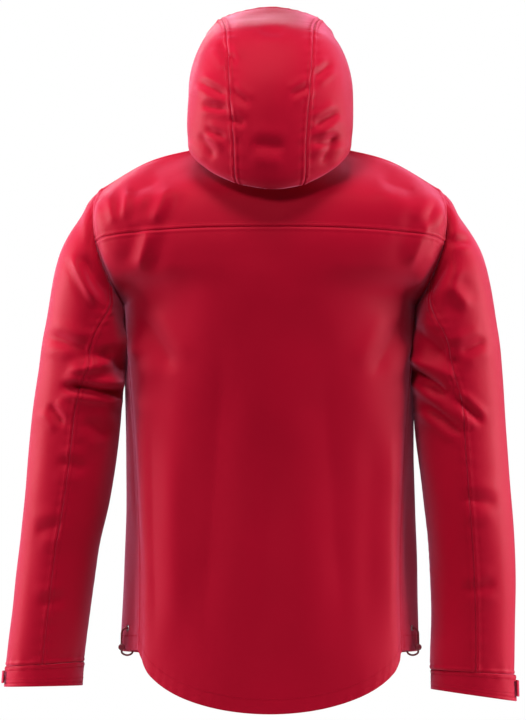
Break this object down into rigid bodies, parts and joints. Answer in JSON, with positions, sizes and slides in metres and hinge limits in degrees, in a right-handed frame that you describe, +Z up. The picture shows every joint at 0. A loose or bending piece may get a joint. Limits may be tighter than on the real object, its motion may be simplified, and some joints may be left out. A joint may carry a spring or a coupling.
{
  "type": "hardshell jacket",
  "caption": "Waterproof hooded mountain jacket standing as if worn, with dropped back hem, back yoke, zips, hook-and-loop cuffs and hem cord locks.",
  "frame": {"origin": "centre of the flat underside of the hanger loop inside the back of the neck", "axes": "+Z up, front of the jacket towards -Y, wearer's left towards +X"},
  "size_m": [0.7227, 0.2901, 0.984],
  "materials": {
    "shell_fabric": "fine woven face with a satin sheen",
    "lining": "matt backer",
    "dark_trim": "matt webbing and zip tape",
    "zip_teeth": "moulded coil",
    "slider_metal": "dark lacquer",
    "metal": "plain",
    "hook_loop": "hook and loop pile",
    "cord_red": "braided elastic",
    "lock_plastic": "moulded"
  },
  "bodies": {
    "jacket_shell": {"back_panel": "shell_fabric", "back_yoke": "shell_fabric", "pocket_zip_tape_left": "dark_trim", "pocket_zip_coil_left": "zip_teeth", "front_panel_left": "shell_fabric", "pocket_bag_left": "lining", "hem_facing_left": "shell_fabric", "pocket_zip_tape_right": "dark_trim", "pocket_zip_coil_right": "zip_teeth", "front_panel_right": "shell_fabric", "pocket_bag_right": "lining", "hem_facing_right": "shell_fabric", "hem_facing_back": "shell_fabric", "zip_tape_left": "dark_trim", "zip_coil_left": "zip_teeth", "zip_top_stop_left": "metal", "zip_tape_right": "dark_trim", "zip_coil_right": "zip_teeth", "zip_top_stop_right": "metal", "zip_box": "zip_teeth", "zip_insertion_pin": "zip_teeth", "storm_flap": "lining", "chin_guard": "lining", "collar": "shell_fabric", "hanger_loop": "dark_trim", "hood_side_left": "shell_fabric", "hood_centre": "shell_fabric", "hood_side_right": "shell_fabric", "hood_brim": "shell_fabric", "sleeve_outer_left": "shell_fabric", "sleeve_under_left": "shell_fabric", "cuff_left": "shell_fabric", "cuff_loop_patch_left": "hook_loop", "sleeve_outer_right": "shell_fabric", "sleeve_under_right": "shell_fabric", "cuff_right": "shell_fabric", "cuff_loop_patch_right": "hook_loop", "hem_cord_left": "cord_red", "hem_eyelet_left": "metal", "hem_cord_right": "cord_red", "hem_eyelet_right": "metal"},
    "front_zip_slider": {"zip_slider": "slider_metal"},
    "front_zip_puller": {"zip_puller": "dark_trim"},
    "pocket_left_zip_slider": {"pocket_left_slider": "slider_metal"},
    "pocket_left_zip_puller": {"pocket_left_puller": "dark_trim"},
    "cuff_strap_left": {"cuff_tab_left": "shell_fabric", "cuff_hook_patch_left": "hook_loop"},
    "cord_lock_left": {"cord_lock_barrel_left": "lock_plastic", "cord_lock_spring_left": "metal"},
    "cord_lock_button_left": {"cord_lock_plunger_left": "lock_plastic"},
    "pocket_right_zip_slider": {"pocket_right_slider": "slider_metal"},
    "pocket_right_zip_puller": {"pocket_right_puller": "dark_trim"},
    "cuff_strap_right": {"cuff_tab_right": "shell_fabric", "cuff_hook_patch_right": "hook_loop"},
    "cord_lock_right": {"cord_lock_barrel_right": "lock_plastic", "cord_lock_spring_right": "metal"},
    "cord_lock_button_right": {"cord_lock_plunger_right": "lock_plastic"}
  },
  "joints": [
    {"name": "front_zip_slide", "type": "slide", "parent": "jacket_shell", "child": "front_zip_slider", "axis": [0, 0.0241, 0.9997], "range_m": [-0.705, 0]},
    {"name": "front_zip_puller_swing", "type": "hinge", "parent": "front_zip_slider", "child": "front_zip_puller", "pos_m": [0, -0.17166, 0.02073], "axis": [1, 0, 0], "range_deg": [-165, 0]},
    {"name": "pocket_left_zip_slide", "type": "slide", "parent": "jacket_shell", "child": "pocket_left_zip_slider", "axis": [-0.0321, 0.0132, 0.9994], "range_m": [-0.139, 0]},
    {"name": "pocket_left_puller_swing", "type": "hinge", "parent": "pocket_left_zip_slider", "child": "pocket_left_zip_puller", "pos_m": [0.15336, -0.16282, -0.40577], "axis": [0.8099, 0.5863, 0.0183], "range_deg": [-165, 0]},
    {"name": "cuff_tab_left_peel", "type": "hinge", "parent": "jacket_shell", "child": "cuff_strap_left", "pos_m": [0.3712, -0.0804, -0.7357], "axis": [-0.066, 0.066, 0.9956], "range_deg": [0, 110]},
    {"name": "cord_lock_left_slide", "type": "slide", "parent": "jacket_shell", "child": "cord_lock_left", "axis": [0, 0, 1], "range_m": [0, 0.009]},
    {"name": "cord_lock_left_press", "type": "slide", "parent": "cord_lock_left", "child": "cord_lock_button_left", "axis": [0, -1, 0], "range_m": [0, 0.003], "stiffness_N_per_m": 900, "springref_m": -0.001, "deforming": ["cord_lock_spring_left"]},
    {"name": "pocket_right_zip_slide", "type": "slide", "parent": "jacket_shell", "child": "pocket_right_zip_slider", "axis": [0.0321, 0.0132, 0.9994], "range_m": [-0.139, 0]},
    {"name": "pocket_right_puller_swing", "type": "hinge", "parent": "pocket_right_zip_slider", "child": "pocket_right_zip_puller", "pos_m": [-0.15336, -0.16282, -0.40577], "axis": [0.8099, -0.5863, -0.0183], "range_deg": [-165, 0]},
    {"name": "cuff_tab_right_peel", "type": "hinge", "parent": "jacket_shell", "child": "cuff_strap_right", "pos_m": [-0.3446, -0.0723, -0.7506], "axis": [0.012, -0.056, -0.9984], "range_deg": [0, 110]},
    {"name": "cord_lock_right_slide", "type": "slide", "parent": "jacket_shell", "child": "cord_lock_right", "axis": [0, 0, 1], "range_m": [0, 0.009]},
    {"name": "cord_lock_right_press", "type": "slide", "parent": "cord_lock_right", "child": "cord_lock_button_right", "axis": [0, -1, 0], "range_m": [0, 0.003], "stiffness_N_per_m": 900, "springref_m": -0.001, "deforming": ["cord_lock_spring_right"]}
  ]
}
